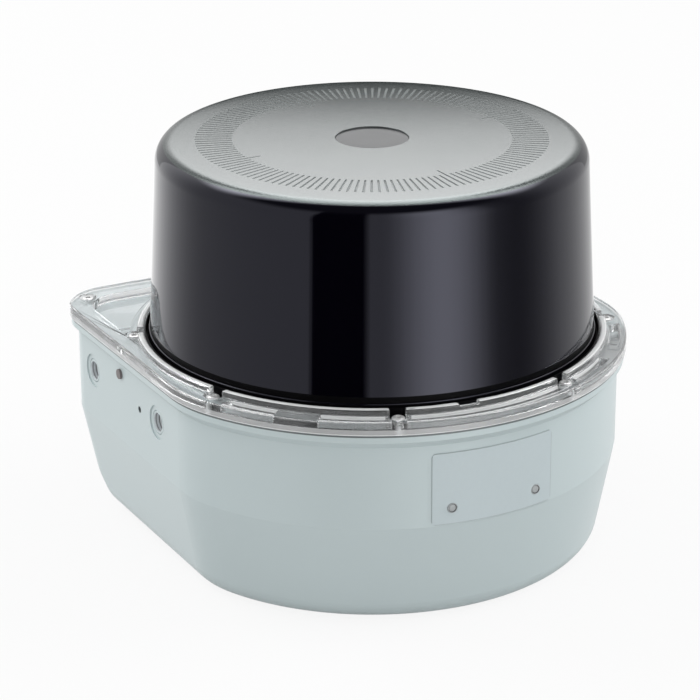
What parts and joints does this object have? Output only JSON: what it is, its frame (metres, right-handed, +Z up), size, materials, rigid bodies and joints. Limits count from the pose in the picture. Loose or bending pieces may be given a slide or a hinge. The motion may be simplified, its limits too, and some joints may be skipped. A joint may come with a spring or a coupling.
{
  "type": "lidar sensor",
  "caption": "Machine-safety laser scanner: round-front cast base with a sloping rear connector face, clear cover frame, dark optic hood and a spinning tilted mirror on bearings inside.",
  "frame": {"origin": "on the scan axis at the flat underside of the base", "axes": "+Z up along the scan axis, -Y towards the label on the round front, +Y towards the connectors"},
  "size_m": [0.1444, 0.145, 0.122],
  "materials": {
    "painted_housing": "satin paint on a casting",
    "clear_plastic": "clear moulding",
    "hood_plastic": "dark tinted gloss",
    "label_film": "printed film",
    "light_plastic": "frosted light guide",
    "steel": "bright",
    "black_plastic": "moulded",
    "seal_rubber": "matt",
    "nickel_brass": "nickel plated",
    "gold_contact": "gold plated",
    "circuit_board": "solder mask",
    "bare_aluminium": "machined",
    "lens_glass": "polished",
    "detector_metal": "satin",
    "core_iron": "varnished laminations",
    "coil_copper": "enamelled wire",
    "mirror_glass": "front-surface mirror",
    "weight_brass": "machined"
  },
  "bodies": {
    "sensor_base": {"base_housing": "painted_housing", "clear_frame": "clear_plastic", "optic_hood": "hood_plastic", "front_label": "label_film", "left_status_light": "light_plastic", "right_status_light": "light_plastic", "frame_screws": "steel", "mount_inserts": "steel", "board_screws": "steel", "chassis_screws": "steel", "detector_screws": "steel", "lower_bearing": "steel", "upper_bearing": "steel", "bearing_spacer": "steel", "bearing_retainer": "steel", "vent_plug": "black_plastic", "power_connector_insert": "black_plastic", "signal_connector_insert": "black_plastic", "data_connector_insert": "black_plastic", "processor_chip": "black_plastic", "board_headers": "black_plastic", "supply_capacitors": "black_plastic", "encoder_reader": "black_plastic", "laser_barrel": "black_plastic", "hood_seal": "seal_rubber", "power_connector_shell": "nickel_brass", "power_connector_nut": "nickel_brass", "signal_connector_shell": "nickel_brass", "signal_connector_nut": "nickel_brass", "data_connector_shell": "nickel_brass", "data_connector_nut": "nickel_brass", "connector_pins": "gold_contact", "main_board": "circuit_board", "detector_board": "circuit_board", "scanner_chassis": "bare_aluminium", "receiver_lens": "lens_glass", "light_detector": "detector_metal", "stator_core": "core_iron", "stator_coils": "coil_copper"},
    "scan_rotor": {"rotor_hub": "bare_aluminium", "rotor_magnet": "core_iron", "encoder_disc": "detector_metal", "mirror_carrier": "bare_aluminium", "scan_mirror": "mirror_glass", "carrier_screws": "steel", "balance_weight": "weight_brass"}
  },
  "joints": [
    {"name": "scan_spin", "type": "hinge", "parent": "sensor_base", "child": "scan_rotor", "pos_m": [0, 0, 0.06], "axis": [0, 0, 1], "continuous": true}
  ]
}
